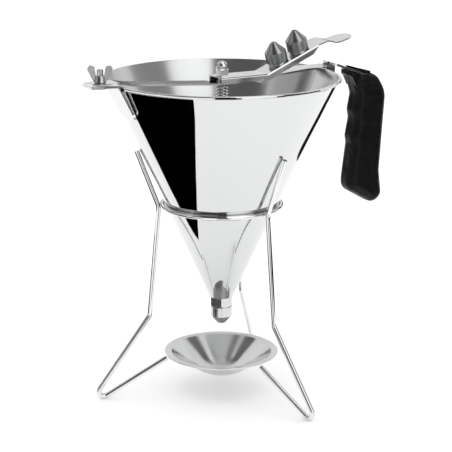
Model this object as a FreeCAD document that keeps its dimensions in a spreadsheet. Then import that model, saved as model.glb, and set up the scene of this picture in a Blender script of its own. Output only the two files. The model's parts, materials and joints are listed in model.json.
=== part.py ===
import FreeCAD, Part
import math
import os
import Sketcher

# Batter dispenser: a steel funnel with a lever valve, standing in a three-legged wire stand.
# Lengths are millimetres. Z is up, the floor is Z = 0 and the funnel's axis is X = Y = 0.
# The bridge bar runs along X, with the grip on the +X side and the wing nut on the -X side.

V = FreeCAD.Vector
UP = V(0, 0, 1)
doc = FreeCAD.newDocument("BatterDispenser")

SIZES = {
    # Funnel cone
    "rim_height": 264.0,
    "cone_foot_height": 81.0,
    "cone_foot_radius": 9.6,
    "cone_taper": 0.46,
    "cone_sheet": 1.0,
    "lip_overhang": 1.2,
    "lip_height": 2.6,
    "lip_round": 0.9,
    "lip_clearance": 0.9,
    # Threaded socket under the cone
    "socket_flats": 17.2,
    "socket_height": 8.0,
    "socket_bevel": 1.3,
    "socket_bore_radius": 4.2,
    "seat_mouth_radius": 8.2,
    "seat_depth": 5.0,
    "thread_radius": 6.9,
    "thread_length": 5.6,
    # Screw-on nozzles
    "nozzle_radius": 8.8,
    "nozzle_body_length": 8.4,
    "nozzle_cone_steepness": 1.19,
    "fitted_tip_radius": 3.7,
    "spare_tip_radius": 2.2,
    "nozzle_edge_round": 0.5,
    "nozzle_shoulder_radius": 5.2,
    "nozzle_tip_land": 1.8,
    "thread_clearance": 0.08,
    "joint_gap": 0.1,
    "gasket_thickness": 0.6,
    "fitted_outlet_radius": 2.9,
    "fine_outlet_radius": 1.2,
    "medium_outlet_radius": 1.6,
    # Valve rod and its fittings
    "rod_radius": 3.0,
    "plug_radius": 5.6,
    "plug_stem_radius": 4.4,
    "plug_shoulder": 3.0,
    "plug_height": 9.0,
    "seat_clearance": 0.15,
    "nut_flats": 10.0,
    "nut_hex_height": 5.6,
    "nut_dome_radius": 4.5,
    "nut_height": 11.9,
    "nut_crown": 2.2,
    "nut_bevel": 0.9,
    "nut_gap": 0.15,
    "spring_radius": 4.5,
    "spring_wire": 1.2,
    "spring_turns": 12,
    "spring_length": 30.0,
    "collar_radius": 5.6,
    "collar_height": 2.4,
    "lock_nut_height": 3.2,
    "rod_clearance": 0.06,
    # Bridge bar across the rim
    "bar_width": 17.0,
    "bar_thickness": 1.5,
    "bar_beyond_lip_left": 23.0,
    "bar_beyond_lip_right": 0.9,
    "bar_level_inside_lip": 18.98,
    "bar_rise_inside_lip": 1.0,
    "bar_rise_run": 9.98,
    "bar_rise": 1.9,
    "bar_bend_round": 12.0,
    "bar_flat_half": 10.0,
    "bar_dip": 5.4,
    "bar_corner": 2.5,
    "bush_radius": 4.6,
    "bush_flange_radius": 6.2,
    "bush_flange": 1.2,
    "bush_stand_up": 0.4,
    # Lever
    "lever_width": 21.4,
    "lever_sheet": 1.0,
    "lever_top": 0.3,
    "lever_start": 5.8,
    "flange_height": 5.1,
    "bend_at": 36.6,
    "bend_round": 4.0,
    "ramp_slope": 0.4245,
    "ramp_end": 85.6,
    "lever_edge_round": 1.3,
    "flange_setback": 6.0,
    "flange_end_round": 2.5,
    "hump_at": 94.0,
    "hump_rise": 23.6,
    "hump_round": 8.0,
    "dip_at": 103.5,
    "dip_rise": 21.5,
    "dip_round": 11.0,
    "tab_tip_at": 121.0,
    "tab_tip_rise": 25.9,
    "tab_corner": 9.0,
    "slot_length": 9.0,
    "slot_width": 6.8,
    "slot_offset": 0.1,
    # Lever pivot
    "pivot_at": 32.0,
    "pin_radius": 1.25,
    "pin_clearance": 0.05,
    "pin_head_radius": 2.0,
    "pin_head": 0.8,
    "knuckle_radius": 2.2,
    "lug_radius": 2.3,
    # Posts for the spare nozzles
    "first_post_at": 52.0,
    "second_post_at": 71.7,
    "post_lean": 15.0,
    "post_foot_radius": 7.6,
    "post_foot": 1.2,
    "post_root": 3.0,
    # Left clamp
    "stud_beyond_lip": 12.2,
    "clamp_sheet": 1.9,
    "clamp_beyond_lip": 23.5,
    "clamp_width": 17.0,
    "tab_width": 24.5,
    "tab_sheet": 1.8,
    "tab_drop": 27.0,
    "tab_round": 6.0,
    "stud_radius": 2.5,
    "stud_rise": 13.6,
    "stud_clearance": 0.3,
    "stud_head_radius": 4.5,
    "stud_head": 1.4,
    "wing_hub_radius": 4.6,
    "wing_hub_top_radius": 3.7,
    "wing_hub_height": 5.4,
    "wing_span": 19.4,
    "wing_rise": 13.4,
    "wing_width": 5.4,
    "wing_thickness": 2.4,
    "wing_turn": -30.0,
    # Grip bracket
    "bracket_width": 17.0,
    "bracket_sheet": 2.0,
    "hook_tip_beyond_lip": 3.2,
    "hook_tip_rise": 2.6,
    "hook_beyond_lip": 5.4,
    "hook_corner": 7.5,
    "hook_gap": 0.1,
    "fall_beyond_lip": 8.6,
    "bracket_beyond_lip": 42.0,
    "bracket_fall": 11.8,
    "weld_tab_drop": 22.0,
    "weld_sheet": 5.2,
    # Grip
    "grip_beyond_lip": 61.1,
    "grip_drop": 5.3,
    "grip_depth": 35.8,
    "grip_length": 111.5,
    "grip_thickness": 20.0,
    "grip_round": 7.2,
    "prong_width": 15.0,
    "lower_prong_thickness": 4.2,
    "upper_prong_thickness": 3.3,
    "lower_prong_beyond_lip": 21.8,
    "upper_prong_beyond_lip": 26.6,
    "prong_round": 1.8,
    "prong_corner": 6.0,
    "slot_play": 0.15,
    "rivet_from_end": 10.0,
    "rivet_radius": 1.5,
    "rivet_clearance": 0.1,
    # Wire stand
    "wire_radius": 2.0,
    "ring_height": 159.5,
    "ring_clearance": 0.25,
    "leg_azimuth": -75.7,
    "leg_top_height": 206.5,
    "leg_bend_round": 14.0,
    "knee_radius": 60.5,
    "knee_height": 68.7,
    "knee_round": 7.0,
    "foot_radius": 99.3,
    "foot_bend": 4.3,
    "foot_flat": 0.3,
    "leg_end_radius": 46.4,
    # Drip saucer
    "saucer_radius": 47.0,
    "saucer_height": 33.8,
    "saucer_rim_width": 5.6,
    "saucer_rim_round": 0.8,
    "saucer_depth": 19.0,
    "saucer_floor_radius": 13.0,
    "saucer_curve": 34.0,
    "saucer_sheet": 0.8,
}

sheet = doc.addObject("Spreadsheet::Sheet", "Sizes")
for row, (alias, number) in enumerate(SIZES.items(), start=1):
    sheet.set(f"A{row}", alias)
    sheet.set(f"B{row}", str(number))
    sheet.setAlias(f"B{row}", alias)
doc.recompute()


class Amount:
    """A number together with the expression that ties it to the sheet."""

    def __init__(self, number, text):
        self.number = float(number)
        self.text = text

    def __add__(self, other):
        other = amount(other)
        return Amount(self.number + other.number, f"({self.text} + {other.text})")

    def __sub__(self, other):
        other = amount(other)
        return Amount(self.number - other.number, f"({self.text} - {other.text})")

    def __mul__(self, other):
        other = amount(other)
        return Amount(self.number * other.number, f"({self.text} * {other.text})")

    def __truediv__(self, other):
        other = amount(other)
        return Amount(self.number / other.number, f"({self.text} / {other.text})")

    def __neg__(self):
        return amount(0) - self

    __radd__ = __add__
    __rmul__ = __mul__

    def __rsub__(self, other):
        return amount(other) - self


def amount(thing):
    """Turn a plain number into an Amount and leave an Amount as it is."""
    if isinstance(thing, Amount):
        return thing
    return Amount(thing, f"{thing:g}")


def size(alias):
    """The named size from the sheet."""
    return Amount(SIZES[alias], f"Sizes.{alias}")


def root(thing):
    """Square root of an Amount."""
    return Amount(math.sqrt(thing.number), f"sqrt({thing.text})")


def bind(thing, path, value):
    """Tie one property of an object to the sheet."""
    thing.setExpression(path, amount(value).text)


def new_body(label):
    """An empty body that will hold one sub-part."""
    body = doc.addObject("PartDesign::Body", label)
    body.Label = label
    return body


def origin_plane(body, role):
    """One of a body's own origin planes, such as XZ_Plane."""
    return next(item for item in body.Origin.OriginFeatures if item.Role == role)


def pin_corner(sketch, line, x, y):
    """Hold the start of a line at x, y from the sketch's origin."""
    for kind, value, axis in (("DistanceX", x, -2), ("DistanceY", y, -1)):
        if value.text == "0":
            sketch.addConstraint(Sketcher.Constraint("PointOnObject", line, 1, axis))
            continue
        index = sketch.addConstraint(Sketcher.Constraint(kind, -1, 1, line, 1, value.number))
        bind(sketch, f"Constraints[{index}]", value)


def outline(body, name, plane, corners):
    """A closed outline of straight lines, each corner x, y or x, y and its rounding radius."""
    sketch = body.newObject("Sketcher::SketchObject", name)
    sketch.AttachmentSupport = [(origin_plane(body, plane), "")]
    sketch.MapMode = "FlatFace"
    places = [(amount(corner[0]), amount(corner[1])) for corner in corners]
    lines = []
    for start, end in zip(places, places[1:] + places[:1]):
        first = V(start[0].number, start[1].number, 0)
        last = V(end[0].number, end[1].number, 0)
        lines.append(sketch.addGeometry(Part.LineSegment(first, last), False))
    for line, following in zip(lines, lines[1:] + lines[:1]):
        sketch.addConstraint(Sketcher.Constraint("Coincident", line, 2, following, 1))
    for line, (x, y) in zip(lines, places):
        pin_corner(sketch, line, x, y)
    for line, corner in zip(lines, corners):
        if len(corner) == 3:
            round_corner(sketch, line, amount(corner[2]))
    return sketch


def round_corner(sketch, line, radius):
    """Round the corner at the start of a line, keeping the corner's own dimensions."""
    before = sketch.GeometryCount
    sketch.fillet(line, 1, radius.number, True, True)
    added = range(before, sketch.GeometryCount)
    arc = next(index for index in added if isinstance(sketch.Geometry[index], Part.ArcOfCircle))
    index = sketch.addConstraint(Sketcher.Constraint("Radius", arc, radius.number))
    bind(sketch, f"Constraints[{index}]", radius)


def circle_sketch(body, name, plane, x, y, radius):
    """A sketch of one circle."""
    x, y, radius = amount(x), amount(y), amount(radius)
    sketch = body.newObject("Sketcher::SketchObject", name)
    sketch.AttachmentSupport = [(origin_plane(body, plane), "")]
    sketch.MapMode = "FlatFace"
    circle = sketch.addGeometry(Part.Circle(V(x.number, y.number, 0), UP, radius.number), False)
    for kind, value, axis in (("DistanceX", x, -2), ("DistanceY", y, -1)):
        if value.text == "0":
            sketch.addConstraint(Sketcher.Constraint("PointOnObject", circle, 3, axis))
            continue
        index = sketch.addConstraint(Sketcher.Constraint(kind, -1, 1, circle, 3, value.number))
        bind(sketch, f"Constraints[{index}]", value)
    index = sketch.addConstraint(Sketcher.Constraint("Radius", circle, radius.number))
    bind(sketch, f"Constraints[{index}]", radius)
    return sketch


def raise_sketch(sketch, height):
    """Lift a sketch off its plane along the plane's normal."""
    bind(sketch, "AttachmentOffset.Base.z", height)


def pad(body, name, sketch, length, both_ways=False, backwards=False):
    """Add material along the sketch's normal."""
    feature = body.newObject("PartDesign::Pad", name)
    feature.Profile = sketch
    feature.Length = amount(length).number
    feature.Midplane = both_ways
    feature.Reversed = backwards
    bind(feature, "Length", length)
    return feature


def pocket(body, name, sketch, length, both_ways=False, backwards=False):
    """Remove material along the sketch's normal and make sure that some went."""
    doc.recompute()
    before = body.Shape.Volume
    feature = body.newObject("PartDesign::Pocket", name)
    feature.Profile = sketch
    feature.Length = amount(length).number
    feature.Midplane = both_ways
    feature.Reversed = backwards
    bind(feature, "Length", length)
    doc.recompute()
    if body.Shape.Volume > before - 1e-3:
        raise RuntimeError(f"{body.Label}: pocket {name} cuts nothing, {feature.State}")
    return feature


def revolve(body, name, sketch):
    """Turn an outline in the XZ plane about the body's own Z axis."""
    feature = body.newObject("PartDesign::Revolution", name)
    feature.Profile = sketch
    feature.ReferenceAxis = (sketch, ["V_Axis"])
    feature.Angle = 360
    return feature


def groove(body, name, sketch):
    """Cut an outline in the XZ plane about the body's own Z axis."""
    doc.recompute()
    before = body.Shape.Volume
    feature = body.newObject("PartDesign::Groove", name)
    feature.Profile = sketch
    feature.ReferenceAxis = (sketch, ["V_Axis"])
    feature.Angle = 360
    doc.recompute()
    if body.Shape.Volume > before - 1e-3:
        raise RuntimeError(f"{body.Label}: groove {name} cuts nothing")
    return feature


def fillet_where(body, name, radius, wanted):
    """Round the edges of the body's present shape that the test picks."""
    doc.recompute()
    base = body.Tip
    edges = base.Shape.Edges
    names = [f"Edge{index + 1}" for index, edge in enumerate(edges) if wanted(edge)]
    if not names:
        raise RuntimeError(f"{body.Label}: fillet {name} found no edge")
    feature = body.newObject("PartDesign::Fillet", name)
    feature.Base = (base, names)
    feature.Radius = amount(radius).number
    bind(feature, "Radius", radius)
    doc.recompute()
    if feature.Shape.isNull():
        raise RuntimeError(f"{body.Label}: fillet {name} failed")
    return feature


def trim_corners(body, name, plane, x, half, radius, length, height=None, backwards=False):
    """Round off the two corners at (x, half) and (x, -half) of a shape seen along the plane."""
    reach = radius * 1.05
    for side, end in ((1, "Near"), (-1, "Far")):
        edge = half * side
        inward = -side
        beyond = x + 1 if not backwards else x - 1
        behind = x - reach if not backwards else x + reach
        corners = [
            (x, edge, radius),
            (x, edge + reach * inward),
            (beyond, edge + reach * inward),
            (beyond, edge + side),
            (behind, edge + side),
            (behind, edge),
        ]
        if plane == "YZ_Plane":
            corners = [(corner[1], corner[0], *corner[2:]) for corner in corners]
        waste = outline(body, f"{name}{end}", plane, corners)
        if height is not None:
            raise_sketch(waste, height)
        pocket(body, f"{name}{end}Cut", waste, length, both_ways=True)


def place(thing, x=0, y=0, z=0, turn=0, about=UP):
    """Move a finished sub-part to its place, tied to the sheet."""
    x, y, z, turn = amount(x), amount(y), amount(z), amount(turn)
    rotation = FreeCAD.Rotation(about, turn.number)
    thing.Placement = FreeCAD.Placement(V(x.number, y.number, z.number), rotation)
    for path, value in (("x", x), ("y", y), ("z", z)):
        bind(thing, f"Placement.Base.{path}", value)
    if turn.text != "0":
        bind(thing, "Placement.Rotation.Angle", turn)


def hexagon(across_flats, turned=False):
    """Corners of a hexagon about the origin."""
    corner = across_flats / math.sqrt(3)
    half = across_flats / 2
    points = [(corner, 0), (corner / 2, half), (-corner / 2, half)]
    points += [(-corner, 0), (-corner / 2, -half), (corner / 2, -half)]
    if turned:
        points = [(y, x) for x, y in points]
    return points


rim = size("rim_height")


def cone_radius(height):
    """Outer radius of the cone's wall at a height."""
    return size("cone_foot_radius") + size("cone_taper") * (height - size("cone_foot_height"))


slant = root(1 + size("cone_taper") * size("cone_taper"))


lip_radius = cone_radius(rim) + size("lip_overhang")


def beyond_lip(offset):
    """Distance from the axis of something that stands out from the lip by a named offset."""
    return lip_radius + size(offset)


def inside_lip(offset):
    """Distance from the axis of something that stays inside the lip by a named offset."""
    return lip_radius - size(offset)


def make_funnel_cone():
    """The sheet cone with its rolled lip."""
    body = new_body("funnel_cone")
    wall = size("cone_sheet") * slant
    foot = size("cone_foot_height")
    under = rim - size("lip_height")
    profile = outline(body, "Wall", "XZ_Plane", [
        (size("cone_foot_radius"), foot),
        (cone_radius(under), under),
        (lip_radius, under, size("lip_round")),
        (lip_radius, rim, size("lip_round")),
        (cone_radius(rim) - wall, rim, size("lip_round") / 2),
        (size("cone_foot_radius") - wall, foot),
    ])
    revolve(body, "Cone", profile)


def make_spout_socket():
    """Hexagonal socket welded under the cone, with the valve seat and the thread for a nozzle."""
    body = new_body("spout_socket")
    top = size("cone_foot_height")
    bottom = top - size("socket_height")
    end = bottom - size("thread_length")
    flats = outline(body, "Flats", "XY_Plane", hexagon(size("socket_flats")))
    raise_sketch(flats, bottom)
    pad(body, "Hexagon", flats, size("socket_height"))
    stub = circle_sketch(body, "Stub", "XY_Plane", 0, 0, size("thread_radius"))
    raise_sketch(stub, end)
    pad(body, "Thread", stub, size("thread_length"))
    bore = size("socket_bore_radius")
    seat = outline(body, "Seat", "XZ_Plane", [
        (0, top),
        (size("seat_mouth_radius"), top),
        (bore, top - size("seat_depth")),
        (bore, end),
        (0, end),
    ])
    groove(body, "Bore", seat)
    corner = size("socket_flats") / math.sqrt(3)
    bevel = outline(body, "Bevel", "XZ_Plane", [
        (corner - size("socket_bevel"), bottom),
        (corner + 1, bottom),
        (corner + 1, bottom + size("socket_bevel") + 1),
    ])
    groove(body, "BevelledCorners", bevel)


def make_nozzle(label, outlet, tip_radius):
    """A screw-on nozzle about its own axis: open end at Z = 0, tip downwards."""
    body = new_body(label)
    inner = size("thread_radius") + size("thread_clearance")
    shoulder = size("nozzle_body_length")
    tip = shoulder + size("nozzle_cone_steepness") * (size("nozzle_radius") - tip_radius)
    depth = size("thread_length") - size("joint_gap") + size("gasket_thickness")
    profile = outline(body, "Section", "XZ_Plane", [
        (inner, 0),
        (size("nozzle_radius"), 0, size("nozzle_edge_round")),
        (size("nozzle_radius"), -shoulder, size("nozzle_edge_round")),
        (tip_radius, -tip),
        (outlet, -tip),
        (outlet, size("nozzle_tip_land") - tip),
        (size("nozzle_shoulder_radius"), -depth),
        (inner, -depth),
    ])
    revolve(body, "Shell", profile)
    return body


def socket_bottom():
    """Height of the socket's lower face."""
    return size("cone_foot_height") - size("socket_height")


def make_outlet_nozzle():
    """The nozzle in use, screwed on the socket."""
    body = make_nozzle("outlet_nozzle", size("fitted_outlet_radius"), size("fitted_tip_radius"))
    place(body, z=socket_bottom() - size("joint_gap"))


def make_nozzle_gasket():
    """Flat seal between the socket's end and the nozzle."""
    body = new_body("nozzle_gasket")
    top = socket_bottom() - size("thread_length")
    ring = outline(body, "Ring", "XZ_Plane", [
        (size("nozzle_shoulder_radius"), top - size("gasket_thickness")),
        (size("thread_radius"), top - size("gasket_thickness")),
        (size("thread_radius"), top),
        (size("nozzle_shoulder_radius"), top),
    ])
    revolve(body, "Gasket", ring)


def make_valve_plug():
    """Tapered plug on the end of the rod, closing the seat."""
    body = new_body("valve_plug")
    seat_slope = size("seat_depth") / (size("seat_mouth_radius") - size("socket_bore_radius"))
    lift = size("seat_clearance") * root(1 + seat_slope * seat_slope)
    seat_bottom = size("cone_foot_height") - size("seat_depth")
    throat = size("socket_bore_radius") - 1
    low = seat_bottom + lift - seat_slope
    widest = seat_bottom + lift + seat_slope * (size("plug_radius") - size("socket_bore_radius"))
    top = low + size("plug_height")
    profile = outline(body, "Section", "XZ_Plane", [
        (0, low),
        (throat, low),
        (size("plug_radius"), widest),
        (size("plug_radius"), top - size("plug_shoulder"), 0.8),
        (size("plug_stem_radius"), top, 0.6),
        (size("rod_radius"), top),
        (size("rod_radius"), low + size("plug_shoulder")),
        (0, low + size("plug_shoulder")),
    ])
    revolve(body, "Plug", profile)
    return low + size("plug_shoulder")


def make_valve_rod(foot):
    """The straight rod from the plug to the cap nut."""
    body = new_body("valve_rod")
    head = rim + size("lever_top") + size("nut_height") - size("nut_crown")
    section = circle_sketch(body, "Section", "XY_Plane", 0, 0, size("rod_radius"))
    raise_sketch(section, foot)
    pad(body, "Rod", section, head - foot)
    return head


def make_cap_nut(head):
    """Domed nut on the rod's upper end, resting on the lever."""
    body = new_body("cap_nut")
    low = rim + size("lever_top") + size("nut_gap")
    top = low + size("nut_height")
    hex_top = low + size("nut_hex_height")
    dome = size("nut_dome_radius")
    flats = outline(body, "Flats", "XY_Plane", hexagon(size("nut_flats")))
    raise_sketch(flats, low)
    pad(body, "Hexagon", flats, size("nut_hex_height"))
    cap = outline(body, "Dome", "XZ_Plane", [
        (0, hex_top - 1),
        (dome, hex_top - 1),
        (dome, top, dome * 0.95),
        (0, top),
    ])
    revolve(body, "DomedEnd", cap)
    hole = circle_sketch(body, "Hole", "XY_Plane", 0, 0, size("rod_radius"))
    raise_sketch(hole, low)
    pocket(body, "ThreadedHole", hole, head - low, backwards=True)
    corner = size("nut_flats") / math.sqrt(3)
    bevel = outline(body, "Bevel", "XZ_Plane", [
        (corner - size("nut_bevel"), hex_top),
        (corner + 1, hex_top),
        (corner + 1, hex_top - size("nut_bevel") - 1),
    ])
    groove(body, "BevelledCorners", bevel)


def bar_underside(along):
    """Height of the bar's underside on its sloping right half."""
    run = inside_lip("bar_level_inside_lip") - size("bar_flat_half")
    return rim - size("bar_dip") + size("bar_dip") * (along - size("bar_flat_half")) / run


def spring_top():
    """Height of the spring's upper seat, the bush's flange."""
    return rim - size("bar_dip") - size("bush_flange")


def make_spring_collar():
    """Flanged collar on the rod that carries the spring."""
    body = new_body("spring_collar")
    top = spring_top() - size("spring_length")
    profile = outline(body, "Section", "XZ_Plane", [
        (size("rod_radius"), top - size("collar_height")),
        (size("collar_radius") - 1.2, top - size("collar_height"), 0.5),
        (size("collar_radius"), top - 1.1),
        (size("collar_radius"), top),
        (size("rod_radius"), top),
    ])
    revolve(body, "Collar", profile)


def make_lock_nut():
    """Hexagonal nut that holds the collar at its height on the rod."""
    body = new_body("collar_lock_nut")
    top = spring_top() - size("spring_length") - size("collar_height")
    flats = outline(body, "Flats", "XY_Plane", hexagon(size("nut_flats")))
    raise_sketch(flats, top - size("lock_nut_height"))
    pad(body, "Hexagon", flats, size("lock_nut_height"))
    hole = circle_sketch(body, "Hole", "XY_Plane", 0, 0, size("rod_radius"))
    raise_sketch(hole, top)
    pocket(body, "ThreadedHole", hole, size("lock_nut_height"))


def arc_from(start, tangent, end):
    """The circular arc that leaves start along tangent and reaches end."""
    chord = end - start
    along = V(chord).normalize()
    across = tangent - along * tangent.dot(along)
    half_turn = math.acos(max(-1.0, min(1.0, tangent.dot(along))))
    if half_turn < 1e-6:
        return Part.LineSegment(start, end)
    across.normalize()
    middle = (start + end) * 0.5 + across * (chord.Length / 2 * math.tan(half_turn / 2))
    return Part.Arc(start, middle, end)


def biarc(start, first, end, last):
    """Two arcs, smooth where they join, from start along first to end along last."""
    chord = end - start
    sum_of = first + last
    spread = 2 - 2 * first.dot(last)
    reach = chord.dot(sum_of)
    arm = (math.sqrt(reach * reach + spread * chord.dot(chord)) - reach) / spread
    joint = (start + first * arm + end - last * arm) * 0.5
    turned = (end - last * arm - start - first * arm).normalize()
    return [arc_from(start, first, joint), arc_from(joint, turned, end)]


def spring_route():
    """Edges of the spring's centre line, rising from the collar to the bar."""
    radius = SIZES["spring_radius"]
    wire = SIZES["spring_wire"]
    turns = int(SIZES["spring_turns"])
    low = spring_top().number - SIZES["spring_length"] + wire / 2
    rise = SIZES["spring_length"] - wire
    climb = rise / (turns * 2 * math.pi)
    steps = turns * 2
    places = []
    for step in range(steps + 1):
        angle = math.pi * step
        place_at = V(radius * math.cos(angle), radius * math.sin(angle), low + climb * angle)
        tangent = V(-radius * math.sin(angle), radius * math.cos(angle), climb).normalize()
        places.append((place_at, tangent))
    edges = []
    for (start, first), (end, last) in zip(places, places[1:]):
        edges += [arc.toShape() for arc in biarc(start, first, end, last)]
    return edges, places[0]


def make_return_spring():
    """Open coil spring between the bar and the collar, one unbroken wire."""
    edges, (start, tangent) = spring_route()
    wire = SIZES["spring_wire"]
    path = Part.Wire(edges)
    section = Part.Wire([Part.Circle(start, tangent, wire / 2).toShape()])
    spring = doc.addObject("Part::Feature", "return_spring")
    spring.Label = "return_spring"
    spring.Shape = path.makePipeShell([section], True, False)
    pitch = (SIZES["spring_length"] - wire) / SIZES["spring_turns"]
    points = path.discretize(Number=int(SIZES["spring_turns"]) * 24 + 1)
    gaps = [
        points[near].distanceToPoint(points[far])
        for near in range(0, len(points), 3)
        for far in range(near + 12, len(points), 2)
    ]
    print(f"return_spring: pitch {pitch:.2f} mm, least gap {min(gaps) - wire:.2f} mm")


stud_at = beyond_lip("stud_beyond_lip")


def make_bridge_bar():
    """Strip across the rim, dipping in the middle, with holes for the stud and the bush."""
    body = new_body("bridge_bar")
    thick = size("bar_thickness")
    left, right = beyond_lip("bar_beyond_lip_left"), beyond_lip("bar_beyond_lip_right")
    level, flat = inside_lip("bar_level_inside_lip"), size("bar_flat_half")
    rise_to = inside_lip("bar_rise_inside_lip")
    rise_from = rise_to - size("bar_rise_run")
    low = rim - size("bar_dip")
    raised = rim + size("bar_rise")
    bend = size("bar_bend_round")
    profile = outline(body, "Side", "XZ_Plane", [
        (-left, raised),
        (-rise_to, raised, bend),
        (-rise_from, rim, bend),
        (-flat, low, bend),
        (flat, low, bend),
        (level, rim, bend),
        (right, rim),
        (right, rim + thick),
        (level, rim + thick, bend),
        (flat, low + thick, bend),
        (-flat, low + thick, bend),
        (-rise_from, rim + thick, bend),
        (-rise_to, raised + thick, bend),
        (-left, raised + thick),
    ])
    pad(body, "Strip", profile, size("bar_width"), both_ways=True)

    def at_end(edge):
        middle = edge.CenterOfMass
        upright = abs(edge.tangentAt(edge.FirstParameter).z) > 0.9
        return upright and abs(middle.y) > SIZES["bar_width"] / 2 - 0.1

    fillet_where(body, "EndCorners", size("bar_corner"), at_end)
    hole = circle_sketch(body, "StudHole", "XY_Plane", -stud_at, 0,
                         size("stud_radius") + size("stud_clearance"))
    raise_sketch(hole, raised + thick)
    pocket(body, "StudClearance", hole, thick)
    centre = circle_sketch(body, "BushHole", "XY_Plane", 0, 0, size("bush_radius"))
    raise_sketch(centre, low + thick)
    pocket(body, "BushSeat", centre, thick)


def make_rod_bush():
    """Flanged bush in the bar that guides the rod and seats the spring."""
    body = new_body("rod_bush")
    low = rim - size("bar_dip")
    bore = size("rod_radius") + size("rod_clearance")
    profile = outline(body, "Section", "XZ_Plane", [
        (bore, low - size("bush_flange")),
        (size("bush_flange_radius"), low - size("bush_flange"), 0.3),
        (size("bush_flange_radius"), low),
        (size("bush_radius"), low),
        (size("bush_radius"), low + size("bar_thickness") + size("bush_stand_up"), 0.3),
        (bore, low + size("bar_thickness") + size("bush_stand_up")),
    ])
    revolve(body, "Bush", profile)


def pivot_height():
    """Height of the pivot's axis: the knuckle hangs under the bar."""
    return bar_underside(size("pivot_at")) - size("knuckle_radius")


def cross_tube(label, radius, bore, length):
    """A round piece along Y at the pivot, bored if the bore isn't nothing."""
    body = new_body(label)
    section = circle_sketch(body, "Section", "XZ_Plane", size("pivot_at"), pivot_height(), radius)
    pad(body, "Round", section, length, both_ways=True)
    if bore is not None:
        hole = circle_sketch(body, "Bore", "XZ_Plane", size("pivot_at"), pivot_height(), bore)
        pocket(body, "PinHole", hole, length, both_ways=True)
    return body


def make_pivot():
    """Knuckle tube welded under the bar, and the headed pin that the lever turns on."""
    cross_tube("pivot_knuckle", size("knuckle_radius"), size("pin_radius") + size("pin_clearance"),
               size("bar_width"))
    pin = cross_tube("pivot_pin", size("pin_radius"), None, size("lever_width"))
    for side, name in ((1, "Near"), (-1, "Far")):
        head = circle_sketch(pin, f"{name}Circle", "XZ_Plane", size("pivot_at"), pivot_height(),
                             size("pin_head_radius"))
        raise_sketch(head, size("lever_width") / 2 * side)
        pad(pin, f"{name}Head", head, size("pin_head"), backwards=side < 0)


def ramp_height(along):
    """Height of the lever's upper face on its rising part."""
    return rim + size("lever_top") + size("ramp_slope") * (along - size("bend_at"))


def make_lever():
    """Folded channel that straddles the bar, rising to a thumb tab with a double curve."""
    body = new_body("lever")
    sheet_size = size("lever_sheet")
    top = rim + size("lever_top")
    ramp_length = root(1 + size("ramp_slope") * size("ramp_slope"))
    drop = size("flange_height")
    low = top - drop
    mitre = drop * (ramp_length - 1) / size("ramp_slope")
    start, bend = -size("lever_start"), size("bend_at")
    end = size("ramp_end")
    heel = end - size("flange_setback")
    lug = size("lug_radius")
    pivot = size("pivot_at")
    lug_low = pivot_height() - lug
    side = outline(body, "Side", "XZ_Plane", [
        (start, low, 1),
        (pivot - lug, low),
        (pivot - lug, lug_low, lug * 0.85),
        (pivot + lug, lug_low, lug * 0.85),
        (pivot + lug, low),
        (bend + mitre, low),
        (heel, ramp_height(heel) - drop * ramp_length, size("flange_end_round")),
        (end, ramp_height(end) - sheet_size * ramp_length),
        (end, ramp_height(end)),
        (bend, top, size("bend_round")),
        (start, top),
    ])
    pad(body, "Channel", side, size("lever_width"), both_ways=True)

    def along_top(edge):
        middle = edge.CenterOfMass
        outside = abs(middle.y) > SIZES["lever_width"] / 2 - 0.1
        roof = top.number + max(0.0, middle.x - bend.number) * SIZES["ramp_slope"]
        return outside and abs(middle.z - roof) < 0.6 and edge.Length > 2.5

    fillet_where(body, "FoldedEdges", size("lever_edge_round"), along_top)
    inner_mitre = sheet_size * (ramp_length - 1) / size("ramp_slope")
    beyond = end + sheet_size
    inside = outline(body, "Inside", "XZ_Plane", [
        (start - sheet_size, lug_low - lug),
        (beyond, lug_low - lug),
        (beyond, ramp_height(beyond) - sheet_size * ramp_length),
        (bend + inner_mitre, top - sheet_size, size("bend_round")),
        (start - sheet_size, top - sheet_size),
    ])
    pocket(body, "Hollow", inside, size("lever_width") - sheet_size * 2, both_ways=True)
    half_slot = size("slot_width") / 2
    half_long = size("slot_length") / 2
    centre = size("slot_offset")
    slot = outline(body, "RodSlot", "XY_Plane", [
        (centre - half_long, -half_slot, half_slot * 0.9),
        (centre + half_long, -half_slot, half_slot * 0.9),
        (centre + half_long, half_slot, half_slot * 0.9),
        (centre - half_long, half_slot, half_slot * 0.9),
    ])
    raise_sketch(slot, top)
    pocket(body, "RodClearance", slot, sheet_size + 0.5)
    pin_hole = circle_sketch(body, "PinHole", "XZ_Plane", pivot, pivot_height(),
                             size("pin_radius"))
    pocket(body, "PinHoles", pin_hole, size("lever_width"), both_ways=True)
    add_thumb_tab(body, end)


def add_thumb_tab(body, end):
    """The double-curved tab that the thumb presses, with a rounded tip."""
    thick = size("lever_sheet") * 1.1
    hump_at, dip_at, tip_at = size("hump_at"), size("dip_at"), size("tab_tip_at")
    hump = rim + size("hump_rise")
    dip = rim + size("dip_rise")
    tip = rim + size("tab_tip_rise")
    begin = end - 0.5
    tab = outline(body, "TabSide", "XZ_Plane", [
        (begin, ramp_height(begin)),
        (hump_at, hump, size("hump_round")),
        (dip_at, dip, size("dip_round")),
        (tip_at, tip),
        (tip_at, tip - thick),
        (dip_at, dip - thick, size("dip_round") + thick),
        (hump_at, hump - thick, size("hump_round") - thick),
        (begin, ramp_height(begin) - thick),
    ])
    pad(body, "Tab", tab, size("lever_width"), both_ways=True)

    trim_corners(body, "TabCorner", "XY_Plane", tip_at, size("lever_width") / 2,
                 size("tab_corner"), thick * 12, height=tip)


def post_place(along):
    """Where a spare nozzle's post stands on the lever."""
    return along, ramp_height(along)


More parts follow.
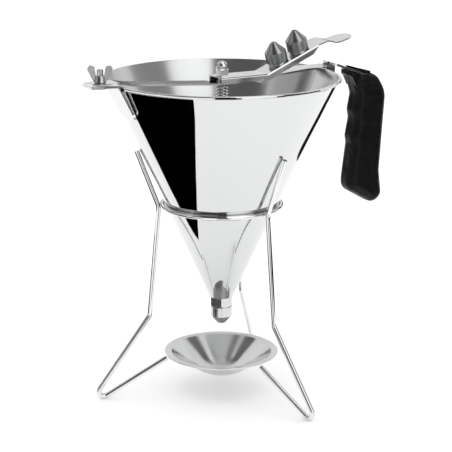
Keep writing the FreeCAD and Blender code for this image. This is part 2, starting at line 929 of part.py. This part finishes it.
def make_post(label, along):
    """Threaded post on the lever, leaning back, its foot cut to the lever's slope."""
    body = new_body(label)
    foot = size("post_foot")
    stud = size("thread_length") - size("joint_gap")
    section = outline(body, "Section", "XZ_Plane", [
        (0, -size("post_root")),
        (size("post_foot_radius"), -size("post_root")),
        (size("post_foot_radius"), foot),
        (size("thread_radius"), foot),
        (size("thread_radius"), foot + stud),
        (0, foot + stud),
    ])
    revolve(body, "Post", section)
    reach = size("post_foot_radius") + 2
    lean = size("post_lean")
    steep = math.tan(math.atan(SIZES["ramp_slope"]) - math.radians(lean.number))
    slope = Amount(steep, "tan(atan(Sizes.ramp_slope) - Sizes.post_lean * 1 deg)")
    under = outline(body, "Underside", "XZ_Plane", [
        (-reach, -reach),
        (reach, -reach),
        (reach, slope * reach),
        (-reach, -(slope * reach)),
    ])
    pocket(body, "SlopedFoot", under, reach * 2, both_ways=True)
    x, z = post_place(along)
    place(body, x=x, z=z, turn=-lean, about=V(0, 1, 0))


def make_spare_nozzle(label, outlet, along):
    """A spare nozzle, tip up, screwed on its post."""
    body = make_nozzle(label, outlet, size("spare_tip_radius"))
    lean = SIZES["post_lean"]
    x, z = post_place(along)
    up = (size("post_foot") + size("joint_gap")).number
    tilt = FreeCAD.Rotation(V(0, 1, 0), -lean)
    centre = V(x.number, 0, z.number) + tilt.multVec(V(0, 0, up))
    body.Placement = FreeCAD.Placement(centre, FreeCAD.Rotation(V(0, 1, 0), 180 - lean))


def make_clamp_bracket():
    """Angle welded to the cone's left side: a flange for the stud and a tab down the wall."""
    top = rim + size("bar_rise")
    body = make_angle("clamp_bracket", -1, beyond_lip("clamp_beyond_lip"), top,
                      size("clamp_sheet"), size("tab_drop"), size("tab_width"),
                      beyond_lip("lip_clearance"))
    flare_flange(body, top)
    hole = circle_sketch(body, "StudHole", "XY_Plane", -stud_at, 0, size("stud_radius"))
    raise_sketch(hole, top)
    pocket(body, "StudSeat", hole, size("clamp_sheet"))


def flare_flange(body, top):
    """Narrow the clamp's flange from the tab's width to the bar's width."""
    wide, narrow = size("tab_width") / 2, size("clamp_width") / 2
    begin = -beyond_lip("lip_clearance")
    end = -beyond_lip("clamp_beyond_lip") - 1
    for side, name in ((1, "Near"), (-1, "Far")):
        waste = outline(body, f"{name}Flare", "XY_Plane", [
            (begin, wide * side),
            (-stud_at, narrow * side),
            (end, narrow * side),
            (end, (wide + 1) * side),
            (begin, (wide + 1) * side),
        ])
        raise_sketch(waste, top)
        pocket(body, f"{name}FlareCut", waste, size("tab_drop"))


def make_angle(label, side, reach, top, flange, tab_drop, width, lip_side):
    """An angle on the cone's wall: side is -1 for the left and 1 for the right."""
    body = new_body(label)
    under_lip = rim - size("lip_height") - size("lip_clearance") / 3
    skin = size("tab_sheet") * slant
    low = rim - tab_drop
    flange_low = top - flange
    corners = [
        (reach, top),
        (lip_side, top),
        (lip_side, rim - size("lip_height") / 2),
        (beyond_lip("lip_clearance") - size("lip_clearance") / 2, under_lip),
        (cone_radius(under_lip), under_lip),
        (cone_radius(low), low),
        (cone_radius(low) + skin, low),
        (lip_side + size("tab_sheet"), flange_low, size("tab_sheet") / 2),
        (reach, flange_low),
    ]
    if side < 0:
        corners = [(-corner[0], *corner[1:]) for corner in corners]
    profile = outline(body, "Side", "XZ_Plane", corners)
    pad(body, "Angle", profile, width, both_ways=True)
    trim_corners(body, "TabCorner", "YZ_Plane", low, width / 2,
                 size("tab_round"), reach * 2, backwards=True)
    return body


def make_clamp_stud():
    """Headed stud pressed up through the bracket's flange."""
    body = new_body("clamp_stud")
    under = rim + size("bar_rise") - size("clamp_sheet")
    profile = outline(body, "Section", "XZ_Plane", [
        (0, under - size("stud_head")),
        (size("stud_head_radius"), under - size("stud_head")),
        (size("stud_head_radius"), under),
        (size("stud_radius"), under),
        (size("stud_radius"), rim + size("stud_rise"), size("stud_radius") / 5),
        (0, rim + size("stud_rise")),
    ])
    revolve(body, "Stud", profile)
    place(body, x=-stud_at)


def make_wing_nut():
    """Wing nut on the stud: a tapered hub with two upswept wings."""
    body = new_body("wing_nut")
    base = rim + size("bar_rise") + size("bar_thickness") + size("joint_gap")
    top = base + size("wing_hub_height")
    bore = size("stud_radius") + size("thread_clearance")
    hub = outline(body, "Hub", "XZ_Plane", [
        (bore, base),
        (size("wing_hub_radius"), base, 0.4),
        (size("wing_hub_top_radius"), top, 0.4),
        (bore, top),
    ])
    revolve(body, "TaperedHub", hub)
    for side, name in ((1, "Right"), (-1, "Left")):
        tip = size("wing_span") / 2
        width = size("wing_width")
        crown = base + size("wing_rise")
        foot = size("wing_hub_top_radius") - 0.6
        ear = [
            (foot, base + 0.8),
            (size("wing_hub_radius") + 0.6, base + 1.2, 1),
            (tip, crown - width * 0.6, width * 0.35),
            (tip - 1.2, crown, width * 0.35),
            (tip - width, crown - 1.0, width * 0.35),
            (foot, top - 0.5),
        ]
        if side < 0:
            ear = [(-corner[0], *corner[1:]) for corner in ear]
        wing = outline(body, f"{name}Wing", "XZ_Plane", ear)
        pad(body, f"{name}Ear", wing, size("wing_thickness"), both_ways=True)
    place(body, x=-stud_at, turn=size("wing_turn"))


fall_from = beyond_lip("fall_beyond_lip")
bracket_end = beyond_lip("bracket_beyond_lip")
rivet_at = bracket_end - size("rivet_from_end")


def bracket_underside(along):
    """Height of the grip bracket's underside where it falls towards the grip."""
    start = rim + size("bar_thickness") + size("hook_gap")
    return start - size("bracket_fall") * (along - fall_from) / (bracket_end - fall_from)


def make_grip_bracket():
    """Strip from the rim to the grip, with an upturned hook over the bar's end."""
    body = new_body("grip_bracket")
    thick = size("bracket_sheet")
    level = rim + size("bar_thickness") + size("hook_gap")
    hook, tip_at = beyond_lip("hook_beyond_lip"), beyond_lip("hook_tip_beyond_lip")
    tip = rim + size("bar_thickness") + size("hook_tip_rise")
    end = bracket_end
    profile = outline(body, "Side", "XZ_Plane", [
        (tip_at, tip),
        (hook, level, thick * 0.8),
        (fall_from, level, thick * 2),
        (end, bracket_underside(end)),
        (end, bracket_underside(end) + thick),
        (fall_from, level + thick, thick * 2),
        (hook + thick / 2, level + thick, thick),
        (tip_at + thick / 2, tip + thick / 2),
    ])
    pad(body, "Strip", profile, size("bracket_width"), both_ways=True)
    trim_corners(body, "HookCorner", "XY_Plane", tip_at, size("bracket_width") / 2,
                 size("hook_corner"), thick * 6, height=level + thick, backwards=True)
    hole = circle_sketch(body, "RivetHole", "XY_Plane", rivet_at, 0,
                         size("rivet_radius") + size("rivet_clearance"))
    raise_sketch(hole, level + thick)
    pocket(body, "RivetClearance", hole, size("bracket_fall") * 2)


def make_weld_angle():
    """Angle welded to the cone's right side, under the grip bracket."""
    reach = fall_from - size("bracket_sheet") / 2
    make_angle("grip_weld_angle", 1, reach, rim + size("bar_thickness") + size("hook_gap"),
               size("weld_sheet"), size("weld_tab_drop"), size("bracket_width"),
               beyond_lip("bar_beyond_lip_right") + size("lip_clearance") / 2)


# Corners of the grip seen from the side: share of its depth outwards, share of its length
# downwards, and the corner's rounding as a share of its depth.
GRIP_CORNERS = (
    (0.020, 0.004, 0.223),
    (0.453, -0.004, 0.335),
    (0.791, 0.050, 0.391),
    (1.014, 0.168, 0.559),
    (0.891, 0.776, 0.698),
    (0.972, 0.970, 0.223),
    (0.740, 1.038, 0.223),
    (-0.011, 0.899, 0.240),
    (-0.006, 0.813, 0.698),
    (0.101, 0.552, 0.223),
    (0.067, 0.500, 0.251),
    (0.154, 0.361, 0.335),
    (0.109, 0.300, 0.251),
    (0.187, 0.177, 0.279),
)


def make_grip():
    """Moulded grip with finger swells and a slot between two prongs for the bracket."""
    body = new_body("grip")
    depth = size("grip_depth")
    inner = beyond_lip("grip_beyond_lip") - depth
    top = rim - size("grip_drop")
    sides = outline(body, "Side", "XZ_Plane", [
        (inner + depth * outwards, top - size("grip_length") * downwards, depth * rounding)
        for outwards, downwards, rounding in GRIP_CORNERS
    ])
    pad(body, "Core", sides, size("grip_thickness"), both_ways=True)

    def on_side(edge):
        middle = edge.CenterOfMass
        flat = abs(abs(middle.y) - SIZES["grip_thickness"] / 2) < 0.05
        return flat and edge.BoundBox.YLength < 0.05

    fillet_where(body, "RoundedSides", size("grip_round"), on_side)
    add_prongs(body)


def add_prongs(body):
    """Two prongs that hold the bracket, and the slot between them."""
    play = size("slot_play")
    low_reach = beyond_lip("lower_prong_beyond_lip")
    high_reach = beyond_lip("upper_prong_beyond_lip")
    low_thick, high_thick = size("lower_prong_thickness"), size("upper_prong_thickness")
    inner = bracket_end + size("bracket_sheet")
    under = lambda along: bracket_underside(along) - play
    over = lambda along: bracket_underside(along) + size("bracket_sheet") + play
    lower = outline(body, "LowerProng", "XZ_Plane", [
        (low_reach, under(low_reach), size("prong_round")),
        (low_reach, under(low_reach) - low_thick, size("prong_round")),
        (low_reach + low_thick, under(low_reach + low_thick) - low_thick, low_thick),
        (low_reach + low_thick * 2, under(low_reach) - low_thick * 3.4),
        (inner, under(low_reach) - low_thick * 3.4),
        (inner, under(inner)),
    ])
    pad(body, "LowerProngPad", lower, size("prong_width"), both_ways=True)
    trim_corners(body, "LowerProngCorner", "XY_Plane", low_reach, size("prong_width") / 2,
                 size("prong_corner"), low_thick * 4, height=under(low_reach), backwards=True)
    upper = outline(body, "UpperProng", "XZ_Plane", [
        (high_reach, over(high_reach) + high_thick * 0.6),
        (high_reach + high_thick / 2, over(high_reach) + play),
        (inner, over(inner)),
        (inner, over(inner) + high_thick),
        (high_reach + high_thick * 2, over(high_reach + high_thick * 2) + high_thick * 0.7,
         high_thick * 2),
    ])
    pad(body, "UpperProngPad", upper, size("prong_width"), both_ways=True)
    trim_corners(body, "UpperProngCorner", "XY_Plane", high_reach, size("prong_width") / 2,
                 size("prong_corner"), high_thick * 2.2, height=over(high_reach) + high_thick,
                 backwards=True)
    mouth = low_reach - size("bracket_sheet") / 2
    slot_end = bracket_end + play
    slot = outline(body, "Slot", "XZ_Plane", [
        (mouth, under(mouth)),
        (slot_end, under(slot_end)),
        (slot_end, over(slot_end)),
        (mouth, over(mouth)),
    ])
    pocket(body, "SlotCut", slot, size("bracket_width") + play * 2, both_ways=True)
    hole = circle_sketch(body, "RivetHole", "XY_Plane", rivet_at, 0,
                         size("rivet_radius") + size("rivet_clearance"))
    raise_sketch(hole, bracket_underside(rivet_at) + size("bracket_sheet"))
    pocket(body, "RivetSeat", hole, size("bracket_sheet") + low_thick * 2)


def make_rivet():
    """Rivet through the lower prong and the bracket."""
    body = new_body("grip_rivet")
    low = bracket_underside(rivet_at) - size("lower_prong_thickness") * 1.5
    top = bracket_underside(rivet_at) + size("bracket_sheet") / 2
    profile = outline(body, "Section", "XZ_Plane", [
        (0, low),
        (size("rivet_radius"), low),
        (size("rivet_radius"), top),
        (0, top),
    ])
    revolve(body, "Rivet", profile)
    place(body, x=rivet_at)


def rounded_route(points, radii):
    """Straight runs through the points, with an arc of the given radius at each inner point."""
    edges = []
    reached = points[0]
    for before, corner, after, radius in zip(points, points[1:], points[2:], radii):
        inward = (before - corner).normalize()
        outward = (after - corner).normalize()
        half = inward.getAngle(outward) / 2
        cut = radius / math.tan(half)
        first = corner + inward * cut
        last = corner + outward * cut
        centre_line = (inward + outward).normalize()
        middle = corner + centre_line * (radius / math.sin(half) - radius)
        edges.append(Part.LineSegment(reached, first).toShape())
        edges.append(Part.Arc(first, middle, last).toShape())
        reached = last
    edges.append(Part.LineSegment(reached, points[-1]).toShape())
    return edges


def line_meeting(first, first_to, second, second_to):
    """Where two lines in the XZ plane cross."""
    a, b = first_to - first, second_to - second
    across = a.x * b.z - a.z * b.x
    gap = second - first
    return first + a * ((gap.x * b.z - gap.z * b.x) / across)


def tangent_to(point, centre, radius, side):
    """Where a line from the point touches a circle in the XZ plane, on the given side."""
    gap = centre - point
    distance = gap.Length
    bearing = math.atan2(gap.z, gap.x) + side * math.asin(radius / distance)
    reach = math.sqrt(distance * distance - radius * radius)
    return point + V(math.cos(bearing), 0, math.sin(bearing)) * reach


def wire_to_cone():
    """How far the centre of a wire lying on the cone stands outside the cone's wall."""
    return (size("wire_radius") + size("ring_clearance")) * slant


def leg_points():
    """Corner points of a leg in the XZ plane, from its upper end to its end under the saucer."""
    wire = SIZES["wire_radius"]
    bend = SIZES["foot_bend"]
    top = size("leg_top_height")
    head = V((cone_radius(top) + wire_to_cone()).number, 0, top.number)
    ring = V(ring_radius().number + 2 * wire, 0, SIZES["ring_height"])
    knee = V(SIZES["knee_radius"], 0, SIZES["knee_height"])
    centre = V(SIZES["foot_radius"], 0, bend + wire - SIZES["foot_flat"])
    rim_under = SIZES["saucer_height"] - SIZES["saucer_sheet"]
    end = V(SIZES["leg_end_radius"], 0, rim_under - wire * 1.12)
    outer = tangent_to(knee, centre, bend, 1)
    inner = tangent_to(end, centre, bend, -1)
    foot = line_meeting(knee, outer, end, inner)
    return [head, ring, knee, foot, end]


def ring_radius():
    """Radius of the ring's centre line, so that the cone rests in the ring."""
    return cone_radius(size("ring_height")) + wire_to_cone()


def make_leg(label, azimuth):
    """One leg, a single bent wire: up along the cone, down to the foot and back to the saucer."""
    wire = SIZES["wire_radius"]
    points = leg_points()
    radii = [SIZES["leg_bend_round"], SIZES["knee_round"], SIZES["foot_bend"]]
    edges = rounded_route(points, radii)
    tangent = (points[1] - points[0]).normalize()
    section = Part.Wire([Part.Circle(points[0], tangent, wire).toShape()])
    rod = Part.Wire(edges).makePipeShell([section], True, False)
    reach = SIZES["foot_radius"] * 2
    floor = Part.makeBox(reach, reach, reach, V(0, -reach / 2, -reach))
    leg = doc.addObject("Part::Feature", label)
    leg.Label = label
    leg.Shape = rod.cut(floor)
    leg.Placement = FreeCAD.Placement(V(0, 0, 0), FreeCAD.Rotation(UP, azimuth))


def make_ring():
    """The closed wire ring that the cone rests in."""
    ring = doc.addObject("Part::Torus", "support_ring")
    ring.Label = "support_ring"
    ring.Radius1 = ring_radius().number
    ring.Radius2 = SIZES["wire_radius"]
    bind(ring, "Radius1", ring_radius())
    bind(ring, "Radius2", size("wire_radius"))
    place(ring, z=size("ring_height"))


def make_saucer():
    """Pressed drip saucer with a flat rim, welded on the ends of the legs."""
    body = new_body("drip_saucer")
    top = size("saucer_height")
    thin = size("saucer_sheet")
    floor = top - size("saucer_depth")
    mouth = size("saucer_radius") - size("saucer_rim_width")
    flat = size("saucer_floor_radius")
    profile = outline(body, "Section", "XZ_Plane", [
        (0, floor - thin),
        (flat, floor - thin, size("saucer_curve")),
        (mouth, top - thin, size("saucer_rim_round")),
        (size("saucer_radius"), top - thin),
        (size("saucer_radius"), top),
        (mouth, top, size("saucer_rim_round")),
        (flat, floor, size("saucer_curve")),
        (0, floor),
    ])
    revolve(body, "Dish", profile)


def make_all():
    """Every sub-part, each an object of the document."""
    make_funnel_cone()
    make_spout_socket()
    make_outlet_nozzle()
    make_nozzle_gasket()
    foot = make_valve_plug()
    head = make_valve_rod(foot)
    make_cap_nut(head)
    make_spring_collar()
    make_lock_nut()
    make_return_spring()
    make_bridge_bar()
    make_rod_bush()
    make_pivot()
    make_lever()
    make_post("fine_nozzle_post", size("first_post_at"))
    make_post("medium_nozzle_post", size("second_post_at"))
    make_spare_nozzle("fine_nozzle", size("fine_outlet_radius"), size("first_post_at"))
    make_spare_nozzle("medium_nozzle", size("medium_outlet_radius"), size("second_post_at"))
    make_clamp_bracket()
    make_clamp_stud()
    make_wing_nut()
    make_grip_bracket()
    make_weld_angle()
    make_grip()
    make_rivet()
    make_ring()
    legs = ("front_leg", "rear_leg", "left_leg")
    for index, label in enumerate(legs):
        make_leg(label, SIZES["leg_azimuth"] + 360 * index / len(legs))
    make_saucer()


make_all()
doc.recompute()
os.makedirs("parts", exist_ok=True)
for item in doc.Objects:
    if "Invalid" in item.State or "Error" in item.State:
        raise RuntimeError(f"{item.Label} failed: {item.State}")
finished = [
    item for item in doc.Objects
    if item.isDerivedFrom("PartDesign::Body")
    or item.TypeId in ("Part::Feature", "Part::Torus")
]
for item in finished:
    if item.Shape.isNull() or not item.Shape.isValid():
        raise RuntimeError(f"{item.Label} has no valid shape")
for item in finished:
    item.Shape.exportStep(f"parts/{item.Label}.step")
    print(f"{item.Label}: {len(item.Shape.Solids)} solid, {item.Shape.Volume:.1f} mm3")
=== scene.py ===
import json
import math

import bpy
from mathutils import Matrix, Vector


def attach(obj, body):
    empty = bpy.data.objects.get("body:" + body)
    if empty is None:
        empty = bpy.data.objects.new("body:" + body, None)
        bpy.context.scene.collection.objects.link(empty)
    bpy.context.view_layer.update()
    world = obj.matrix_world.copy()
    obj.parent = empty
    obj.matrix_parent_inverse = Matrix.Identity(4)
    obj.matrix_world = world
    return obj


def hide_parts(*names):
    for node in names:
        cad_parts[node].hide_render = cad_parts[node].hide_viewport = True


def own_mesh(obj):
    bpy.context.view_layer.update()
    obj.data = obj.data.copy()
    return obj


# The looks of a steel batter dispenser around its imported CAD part.
# Lengths are metres in the part's own frame: the floor is Z = 0 and +X runs towards the grip.

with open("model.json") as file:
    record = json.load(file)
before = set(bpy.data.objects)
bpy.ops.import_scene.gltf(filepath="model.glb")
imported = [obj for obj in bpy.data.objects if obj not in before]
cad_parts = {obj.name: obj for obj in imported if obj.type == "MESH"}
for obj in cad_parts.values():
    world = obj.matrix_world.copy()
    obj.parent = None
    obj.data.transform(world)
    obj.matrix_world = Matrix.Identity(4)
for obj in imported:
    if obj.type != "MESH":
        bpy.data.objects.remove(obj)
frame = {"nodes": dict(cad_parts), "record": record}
nodes = frame["nodes"]
scene = bpy.context.scene
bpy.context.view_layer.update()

# The photograph's camera, fitted to the part
PICTURE_SIDE = 452
CAMERA_DISTANCE = 1.2149
CAMERA_HEIGHT = 0.4638
CAMERA_FOCAL_PIXELS = 1539.5
CAMERA_TILT = math.radians(14.9)
CAMERA_PAN = math.radians(0.17)
CAMERA_ROLL = math.radians(0.22)
CAMERA_AZIMUTH = math.radians(-30)
SENSOR_WIDTH = 36.0
CLIP_NEAR = 0.05
CLIP_FAR = 30

# Each steel: its colour, the ends of its roughness, the stretch of its grain where it has one,
# and its anisotropy where the grain runs in circles
STEELS = {
    "polished_steel": ((0.80, 0.805, 0.81), (0.03, 0.06), None, 0.0),
    "saucer_steel": ((0.74, 0.745, 0.75), (0.20, 0.24), None, 0.9),
    "wire_steel": ((0.80, 0.805, 0.81), (0.02, 0.04), None, 0.0),
    "strip_steel": ((0.72, 0.725, 0.73), (0.10, 0.18), (0.05, 1, 1), 0.0),
    "turned_steel": ((0.50, 0.505, 0.51), (0.16, 0.28), (1, 1, 8), 0.0),
    "nozzle_steel": ((0.42, 0.425, 0.43), (0.20, 0.30), None, 0.0),
    "outlet_steel": ((0.68, 0.685, 0.69), (0.16, 0.24), None, 0.0),
}
POLISH_SCALE = 60
GRAIN_SCALE = 900
GRAIN_DEPTH = 0.00001
QUARTER_TURN = 0.25

CONE_COLOUR = (0.69, 0.695, 0.70)
CONE_INSIDE_ROUGHNESS = 0.26
CONE_OUTSIDE_ROUGHNESS = 0.03
CONE_ANISOTROPY = 0.85

PLASTIC_COLOUR = (0.0035, 0.0035, 0.004)
PLASTIC_ROUGHNESS = (0.28, 0.42)
PLASTIC_SPECULAR = 0.15
PLASTIC_MOTTLE_SCALE = 160
PLASTIC_DIMPLE_SCALE = 110
PLASTIC_DIMPLE_DEPTH = 0.0012

RUBBER_COLOUR = (0.02, 0.02, 0.02)
RUBBER_ROUGHNESS = (0.6, 0.8)
RUBBER_SCALE = 400

# The nodes whose finish differs from the one that their slot names
OWN_FINISHES = {
    "funnel_cone": "cone_steel",
    "drip_saucer": "saucer_steel",
    "outlet_nozzle": "outlet_steel",
    "spout_socket": "outlet_steel",
    "fine_nozzle": "nozzle_steel",
    "medium_nozzle": "nozzle_steel",
}

FLOOR_REACH = 4.0
FLOOR_COLOUR = (0.93, 0.93, 0.93)
FLOOR_ROUGHNESS = 0.6
WORLD_STRENGTH = 1.36

# The dark cards on the floor that only reflections show, as outlines in the camera's frame
CARD_HEIGHT = 0.001
FLOOR_CARDS = {
    "card_wedge": [(-0.122, -0.033), (-0.122, -0.200), (-0.127, -0.217), (-0.142, -0.230),
                   (-0.9, -0.232), (-0.9, 0.675)],
    "card_front": [(-0.3, -3.0), (0.9, -3.0), (0.28, -0.8), (0.06, -0.275), (-0.05, -0.275)],
    "card_right": [(0.45, -0.75), (3.0, -1.5), (3.0, 0.5), (0.45, 0.32)],
    "card_strip": [(0.270, 0.358), (0.276, 0.356), (0.406, 0.676), (0.398, 0.680)],
}

# The upright cards round the object, seen in reflections too: the bearings of both ends,
# anticlockwise from the camera as seen from above, the lowest and highest elevation, all in
# degrees, and the brightness
RING_RADIUS = 2.2
CARD_STEPS = 12
UPRIGHT_CARDS = [
    (66, 116, 9, 66, 0.30),
    (12, -60, 9, 72, 0.075),
    (-63, -96, 9, 72, 0.45),
    (-97, -116, 9, 62, 0.07),
    (-117, -180, 15, 48, 0.85),
    (116, 180, 15, 48, 0.85),
    (116, 150, 44, 62, 0.04),
    (150, 205, 48, 69, 0.40),
    (-117, -155, 48, 72, 0.06),
    (112, 248, 0, 14, 0.04),
    (-112, 112, 0, 9, 0.60),
]


def place_camera():
    """The camera stands in front and to the left of the bar and looks slightly down."""
    turn = Matrix.Rotation(CAMERA_AZIMUTH, 4, "Z")
    eye = turn @ Vector((0, -CAMERA_DISTANCE, CAMERA_HEIGHT))
    ahead = Vector((
        math.sin(CAMERA_PAN) * math.cos(CAMERA_TILT),
        math.cos(CAMERA_PAN) * math.cos(CAMERA_TILT),
        -math.sin(CAMERA_TILT),
    ))
    right = Vector((math.cos(CAMERA_PAN), -math.sin(CAMERA_PAN), 0))
    up = right.cross(ahead)
    level = Matrix((right, up, -ahead)).transposed().to_4x4()
    data = bpy.data.cameras.new("camera")
    data.sensor_width = SENSOR_WIDTH
    data.lens = CAMERA_FOCAL_PIXELS * SENSOR_WIDTH / PICTURE_SIDE
    data.clip_start = CLIP_NEAR
    data.clip_end = CLIP_FAR
    camera = bpy.data.objects.new("camera", data)
    scene.collection.objects.link(camera)
    camera.matrix_world = (
        Matrix.Translation(eye) @ turn @ level @ Matrix.Rotation(CAMERA_ROLL, 4, "Z")
    )
    scene.camera = camera


def turned(x, y, z):
    """A point given in the camera's frame, where +Y points away from the camera."""
    return Matrix.Rotation(CAMERA_AZIMUTH, 4, "Z") @ Vector((x, y, z))


def new_material(name, colour, metallic=0.0):
    """A material with a Principled shader of one base colour."""
    material = bpy.data.materials.new(name)
    material.use_nodes = True
    shader = material.node_tree.nodes["Principled BSDF"]
    shader.inputs["Base Color"].default_value = (*colour, 1)
    shader.inputs["Metallic"].default_value = metallic
    return material, material.node_tree, shader


def noise(tree, scale, detail=3.0, stretch=(1, 1, 1)):
    """A noise texture in the object's own coordinates, stretched along an axis."""
    place = tree.nodes.new("ShaderNodeTexCoord")
    mapping = tree.nodes.new("ShaderNodeMapping")
    mapping.inputs["Scale"].default_value = stretch
    texture = tree.nodes.new("ShaderNodeTexNoise")
    texture.inputs["Scale"].default_value = scale
    texture.inputs["Detail"].default_value = detail
    tree.links.new(place.outputs["Object"], mapping.inputs["Vector"])
    tree.links.new(mapping.outputs["Vector"], texture.inputs["Vector"])
    return texture.outputs["Fac"]


def vary(tree, source, low, high, target):
    """Drive a shader socket between two values by a 0 to 1 source."""
    span = tree.nodes.new("ShaderNodeMapRange")
    span.inputs["To Min"].default_value = low
    span.inputs["To Max"].default_value = high
    tree.links.new(source, span.inputs["Value"])
    tree.links.new(span.outputs["Result"], target)


def bump(tree, shader, source, distance):
    """A bump from a height source, in metres."""
    relief = tree.nodes.new("ShaderNodeBump")
    relief.inputs["Distance"].default_value = distance
    tree.links.new(source, relief.inputs["Height"])
    tree.links.new(relief.outputs["Normal"], shader.inputs["Normal"])


def spin(tree, shader, anisotropy):
    """Lay the grain in circles round the Z axis, so that highlights spread across it."""
    tangent = tree.nodes.new("ShaderNodeTangent")
    tangent.direction_type = "RADIAL"
    tangent.axis = "Z"
    shader.inputs["Anisotropic"].default_value = anisotropy
    shader.inputs["Anisotropic Rotation"].default_value = QUARTER_TURN
    tree.links.new(tangent.outputs["Tangent"], shader.inputs["Tangent"])


def outward(tree):
    """1 where a surface faces away from the Z axis and 0 where it faces the axis."""
    place = tree.nodes.new("ShaderNodeTexCoord")
    across = tree.nodes.new("ShaderNodeVectorMath")
    across.operation = "MULTIPLY"
    across.inputs[1].default_value = (1, 1, 0)
    tree.links.new(place.outputs["Object"], across.inputs[0])
    facing = tree.nodes.new("ShaderNodeNewGeometry")
    dot = tree.nodes.new("ShaderNodeVectorMath")
    dot.operation = "DOT_PRODUCT"
    tree.links.new(across.outputs["Vector"], dot.inputs[0])
    tree.links.new(facing.outputs["Normal"], dot.inputs[1])
    test = tree.nodes.new("ShaderNodeMath")
    test.operation = "GREATER_THAN"
    test.inputs[1].default_value = 0.0
    tree.links.new(dot.outputs["Value"], test.inputs[0])
    return test.outputs["Value"]


def steel(name, colour, roughness, grain, anisotropy):
    """Bare steel: metal with a slightly uneven polish and, where asked, a fine grain."""
    material, tree, shader = new_material(name, colour, metallic=1.0)
    vary(tree, noise(tree, POLISH_SCALE), *roughness, shader.inputs["Roughness"])
    if anisotropy:
        spin(tree, shader, anisotropy)
    if grain:
        bump(tree, shader, noise(tree, GRAIN_SCALE, 2.0, grain), GRAIN_DEPTH)
    return material


def cone_steel():
    """Mirror polish outside and a fine brushed finish round the inside of the cone."""
    material, tree, shader = new_material("cone_steel", CONE_COLOUR, metallic=1.0)
    vary(tree, outward(tree), CONE_INSIDE_ROUGHNESS, CONE_OUTSIDE_ROUGHNESS,
         shader.inputs["Roughness"])
    spin(tree, shader, CONE_ANISOTROPY)
    return material


def black_plastic():
    """Satin black moulded plastic, mottled and softly dimpled."""
    material, tree, shader = new_material("grip_plastic", PLASTIC_COLOUR)
    shader.inputs["Specular IOR Level"].default_value = PLASTIC_SPECULAR
    vary(tree, noise(tree, PLASTIC_MOTTLE_SCALE), *PLASTIC_ROUGHNESS,
         shader.inputs["Roughness"])
    bump(tree, shader, noise(tree, PLASTIC_DIMPLE_SCALE, 1.0), PLASTIC_DIMPLE_DEPTH)
    return material


def black_rubber():
    """Matt black rubber."""
    material, tree, shader = new_material("gasket_rubber", RUBBER_COLOUR)
    vary(tree, noise(tree, RUBBER_SCALE), *RUBBER_ROUGHNESS, shader.inputs["Roughness"])
    return material


def finish_nodes():
    """Give every CAD node its finish."""
    finishes = {name: steel(name, *values) for name, values in STEELS.items()}
    finishes["cone_steel"] = cone_steel()
    finishes["grip_plastic"] = black_plastic()
    finishes["gasket_rubber"] = black_rubber()
    slots = {part["node"]: part["material_slot"] for part in frame["record"]["subparts"]}
    for name, node in nodes.items():
        for place in node.material_slots:
            place.material = finishes[OWN_FINISHES.get(name, slots[name])]


def build_spring():
    """The same coil as the CAD spring, carried with the valve."""
    coil = nodes["return_spring"]
    spring = bpy.data.objects.new("spring_coil", coil.data.copy())
    scene.collection.objects.link(spring)
    spring.matrix_world = coil.matrix_world
    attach(spring, "valve")
    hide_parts("return_spring")
    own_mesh(spring)


def flat_piece(name, corners, material):
    """A flat stage piece through the given corners."""
    mesh = bpy.data.meshes.new(name)
    mesh.from_pydata([tuple(corner) for corner in corners], [], [range(len(corners))])
    mesh.materials.append(material)
    piece = bpy.data.objects.new(name, mesh)
    scene.collection.objects.link(piece)
    return piece


def build_stage():
    """White floor and even white surroundings."""
    material, tree, shader = new_material("floor_white", FLOOR_COLOUR)
    shader.inputs["Roughness"].default_value = FLOOR_ROUGHNESS
    flat_piece("floor", [(-FLOOR_REACH, -FLOOR_REACH, 0), (FLOOR_REACH, -FLOOR_REACH, 0),
                         (FLOOR_REACH, FLOOR_REACH, 0), (-FLOOR_REACH, FLOOR_REACH, 0)],
               material)
    scene.world = bpy.data.worlds.new("studio")
    scene.world.use_nodes = True
    background = scene.world.node_tree.nodes["Background"]
    background.inputs["Color"].default_value = (1, 1, 1, 1)
    background.inputs["Strength"].default_value = WORLD_STRENGTH


def emitter(name, brightness):
    """A plain grey surface that gives its own light."""
    material = bpy.data.materials.new(name)
    material.use_nodes = True
    tree = material.node_tree
    tree.nodes.clear()
    glow = tree.nodes.new("ShaderNodeEmission")
    glow.inputs["Color"].default_value = (brightness, brightness, brightness, 1)
    out = tree.nodes.new("ShaderNodeOutputMaterial")
    tree.links.new(glow.outputs["Emission"], out.inputs["Surface"])
    return material


def reflection_card(name, corners, material):
    """A studio card seen only in reflections."""
    card = flat_piece(name, corners, material)
    card.visible_camera = False
    card.visible_diffuse = False
    card.visible_shadow = False
    card.visible_transmission = False


def upright_card(name, start, end, lowest, highest, material):
    """A card curved round the object between two bearings and two elevations."""
    low, high = (RING_RADIUS * math.tan(angle) for angle in (lowest, highest))
    for step in range(CARD_STEPS):
        first = start + (end - start) * step / CARD_STEPS
        second = start + (end - start) * (step + 1) / CARD_STEPS
        corners = [(first, low), (second, low), (second, high), (first, high)]
        places = [turned(RING_RADIUS * math.sin(bearing), -RING_RADIUS * math.cos(bearing), z)
                  for bearing, z in corners]
        reflection_card(f"{name}_{step}", places, material)


def build_cards():
    """The dark and grey cards that the polished steel mirrors."""
    black = emitter("card_black", 0.0)
    for name, outline in FLOOR_CARDS.items():
        reflection_card(name, [turned(x, y, CARD_HEIGHT) for x, y in outline], black)
    for index, (*edges, brightness) in enumerate(UPRIGHT_CARDS):
        grey = emitter(f"card_grey_{index}", brightness)
        upright_card(f"card_upright_{index}", *map(math.radians, edges), grey)


place_camera()
finish_nodes()
build_spring()
build_stage()
build_cards()
scene.view_settings.view_transform = "Standard"
